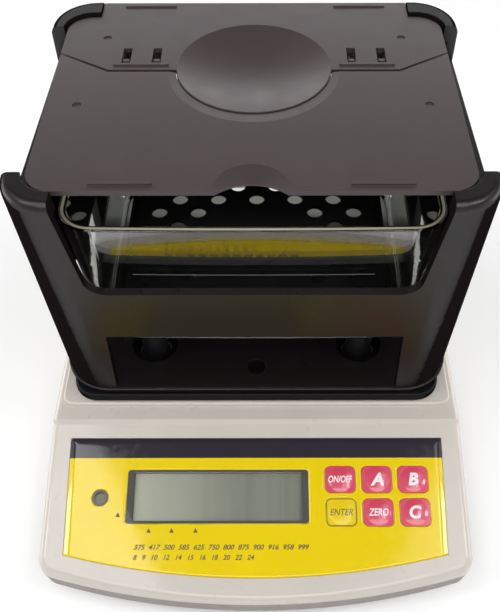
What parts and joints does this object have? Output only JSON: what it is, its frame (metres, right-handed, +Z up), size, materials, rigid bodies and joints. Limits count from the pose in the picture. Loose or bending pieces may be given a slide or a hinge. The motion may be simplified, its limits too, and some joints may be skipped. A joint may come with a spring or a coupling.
{
  "type": "electronic gold tester",
  "caption": "Bench density balance for gold: sloped key panel with a display, weighed frame over a clear water tank with a hanging basket, air dish and hinged lid.",
  "frame": {"origin": "on the table, under the middle of the base's bounding box", "axes": "+X to the right seen from the panel, +Y to the rear, +Z up"},
  "size_m": [0.2, 0.2462, 0.186],
  "materials": {
    "housing_beige": "glossy moulded ABS, warm beige",
    "housing_taupe": "satin moulded ABS, taupe",
    "screw_steel": "zinc plated",
    "film_yellow": "glossy printed film, yellow",
    "film_black": "glossy printed film, purple-black",
    "window_clear": "clear acrylic",
    "bezel_dark": "moulded, dark grey",
    "lcd_grey": "reflective liquid crystal glass, grey-green",
    "level_grey": "moulded, grey",
    "level_fluid": "sealed vial",
    "level_air": "bubble in the vial",
    "key_red": "embossed film dome, crimson",
    "key_yellow": "embossed film dome, yellow",
    "board_green": "glass-epoxy board",
    "switch_black": "moulded switch bodies",
    "spacer_nylon": "nylon",
    "inlet_black": "moulded socket",
    "inlet_pin": "nickel plated",
    "cell_aluminium": "machined",
    "seat_aluminium": "machined",
    "column_aluminium": "machined",
    "pan_black": "semi-matt moulded, black",
    "rubber_black": "matt",
    "frame_black": "semi-gloss moulded ABS, black",
    "lid_grey": "satin moulded ABS, dark grey",
    "basket_black": "satin moulded, black",
    "tank_clear": "clear moulded acrylic",
    "stand_grey": "satin moulded, light grey",
    "stand_black": "moulded, black",
    "thumbwheel_black": "moulded, ribbed rim"
  },
  "bodies": {
    "base": {"upper_housing": "housing_beige", "lower_housing": "housing_taupe", "housing_screws": "screw_steel", "panel_overlay": "film_yellow", "panel_band": "film_black", "display_window": "window_clear", "lcd_bezel": "bezel_dark", "lcd_glass": "lcd_grey", "level_cup": "level_grey", "level_vial": "level_fluid", "level_bubble": "level_air", "main_board": "board_green", "tact_switches": "switch_black", "board_spacers": "spacer_nylon", "board_screws": "screw_steel", "dc_inlet": "inlet_black", "dc_inlet_pin": "inlet_pin", "load_cell": "cell_aluminium", "load_cell_seat": "seat_aluminium", "load_cell_stop": "screw_steel", "pan_stops": "screw_steel", "tank_stand_table": "stand_grey", "tank_stand_legs": "stand_black", "tank_stand_shoes": "rubber_black"},
    "weighed": {"pan_column": "column_aluminium", "weighing_pan": "pan_black", "pan_pads": "rubber_black", "measuring_frame": "frame_black"},
    "top": {"rear_table": "lid_grey", "sample_basket": "basket_black", "basket_screws": "screw_steel"},
    "lid": {"front_lid": "lid_grey"},
    "tank": {"water_tank": "tank_clear"},
    "key_on_off_cap": {"key_on_off": "key_red"},
    "key_a_cap": {"key_a": "key_red"},
    "key_b_cap": {"key_b": "key_red"},
    "key_enter_cap": {"key_enter": "key_yellow"},
    "key_zero_cap": {"key_zero": "key_red"},
    "key_c_cap": {"key_c": "key_red"},
    "foot_1_pad": {"foot_pad_1": "rubber_black"},
    "foot_1_screw": {"foot_screw_1": "thumbwheel_black"},
    "foot_2_pad": {"foot_pad_2": "rubber_black"},
    "foot_2_screw": {"foot_screw_2": "thumbwheel_black"},
    "foot_3_pad": {"foot_pad_3": "rubber_black"},
    "foot_3_screw": {"foot_screw_3": "thumbwheel_black"},
    "foot_4_pad": {"foot_pad_4": "rubber_black"},
    "foot_4_screw": {"foot_screw_4": "thumbwheel_black"}
  },
  "joints": [
    {"name": "key_on_off_press", "type": "slide", "parent": "base", "child": "key_on_off_cap", "axis": [0, 0.2829, -0.9592], "range_m": [0, 0.00045], "stiffness_N_per_m": 300, "springref_m": -0.001},
    {"name": "key_a_press", "type": "slide", "parent": "base", "child": "key_a_cap", "axis": [0, 0.2829, -0.9592], "range_m": [0, 0.00045], "stiffness_N_per_m": 300, "springref_m": -0.001},
    {"name": "key_b_press", "type": "slide", "parent": "base", "child": "key_b_cap", "axis": [0, 0.2829, -0.9592], "range_m": [0, 0.00045], "stiffness_N_per_m": 300, "springref_m": -0.001},
    {"name": "key_enter_press", "type": "slide", "parent": "base", "child": "key_enter_cap", "axis": [0, 0.2829, -0.9592], "range_m": [0, 0.00045], "stiffness_N_per_m": 300, "springref_m": -0.001},
    {"name": "key_zero_press", "type": "slide", "parent": "base", "child": "key_zero_cap", "axis": [0, 0.2829, -0.9592], "range_m": [0, 0.00045], "stiffness_N_per_m": 300, "springref_m": -0.001},
    {"name": "key_c_press", "type": "slide", "parent": "base", "child": "key_c_cap", "axis": [0, 0.2829, -0.9592], "range_m": [0, 0.00045], "stiffness_N_per_m": 300, "springref_m": -0.001},
    {"name": "pan_travel", "type": "slide", "parent": "base", "child": "weighed", "axis": [0, 0, 1], "range_m": [-0.0005, 0], "stiffness_N_per_m": 10000, "springref_m": 0.0008, "deforming": ["load_cell"]},
    {"name": "top_lift", "type": "slide", "parent": "weighed", "child": "top", "axis": [0, 0, 1], "range_m": [0, 0.25]},
    {"name": "tank_lift", "type": "slide", "parent": "base", "child": "tank", "axis": [0, 0, 1], "range_m": [0, 0.125]},
    {"name": "lid_hinge", "type": "hinge", "parent": "top", "child": "lid", "pos_m": [0, 0.0458, 0.18467], "axis": [-1, 0, 0], "range_deg": [0, 105]},
    {"name": "foot_1_height", "type": "slide", "parent": "base", "child": "foot_1_pad", "axis": [0, 0, 1], "range_m": [-0.003, 0]},
    {"name": "foot_1_turn", "type": "hinge", "parent": "foot_1_pad", "child": "foot_1_screw", "pos_m": [-0.076, -0.0975, 0.0048], "axis": [0, 0, 1], "range_deg": [-1080, 0]},
    {"name": "foot_2_height", "type": "slide", "parent": "base", "child": "foot_2_pad", "axis": [0, 0, 1], "range_m": [-0.003, 0]},
    {"name": "foot_2_turn", "type": "hinge", "parent": "foot_2_pad", "child": "foot_2_screw", "pos_m": [0.076, -0.0975, 0.0048], "axis": [0, 0, 1], "range_deg": [-1080, 0]},
    {"name": "foot_3_height", "type": "slide", "parent": "base", "child": "foot_3_pad", "axis": [0, 0, 1], "range_m": [-0.003, 0]},
    {"name": "foot_3_turn", "type": "hinge", "parent": "foot_3_pad", "child": "foot_3_screw", "pos_m": [-0.076, 0.102, 0.0048], "axis": [0, 0, 1], "range_deg": [-1080, 0]},
    {"name": "foot_4_height", "type": "slide", "parent": "base", "child": "foot_4_pad", "axis": [0, 0, 1], "range_m": [-0.003, 0]},
    {"name": "foot_4_turn", "type": "hinge", "parent": "foot_4_pad", "child": "foot_4_screw", "pos_m": [0.076, 0.102, 0.0048], "axis": [0, 0, 1], "range_deg": [-1080, 0]}
  ],
  "couplings": [
    {"joint": "tank_lift", "follows": "top_lift", "ratio": 0.5},
    {"joint": "foot_1_turn", "follows": "foot_1_height", "rad_per_m": 6283.2},
    {"joint": "foot_2_turn", "follows": "foot_2_height", "rad_per_m": 6283.2},
    {"joint": "foot_3_turn", "follows": "foot_3_height", "rad_per_m": 6283.2},
    {"joint": "foot_4_turn", "follows": "foot_4_height", "rad_per_m": 6283.2}
  ]
}
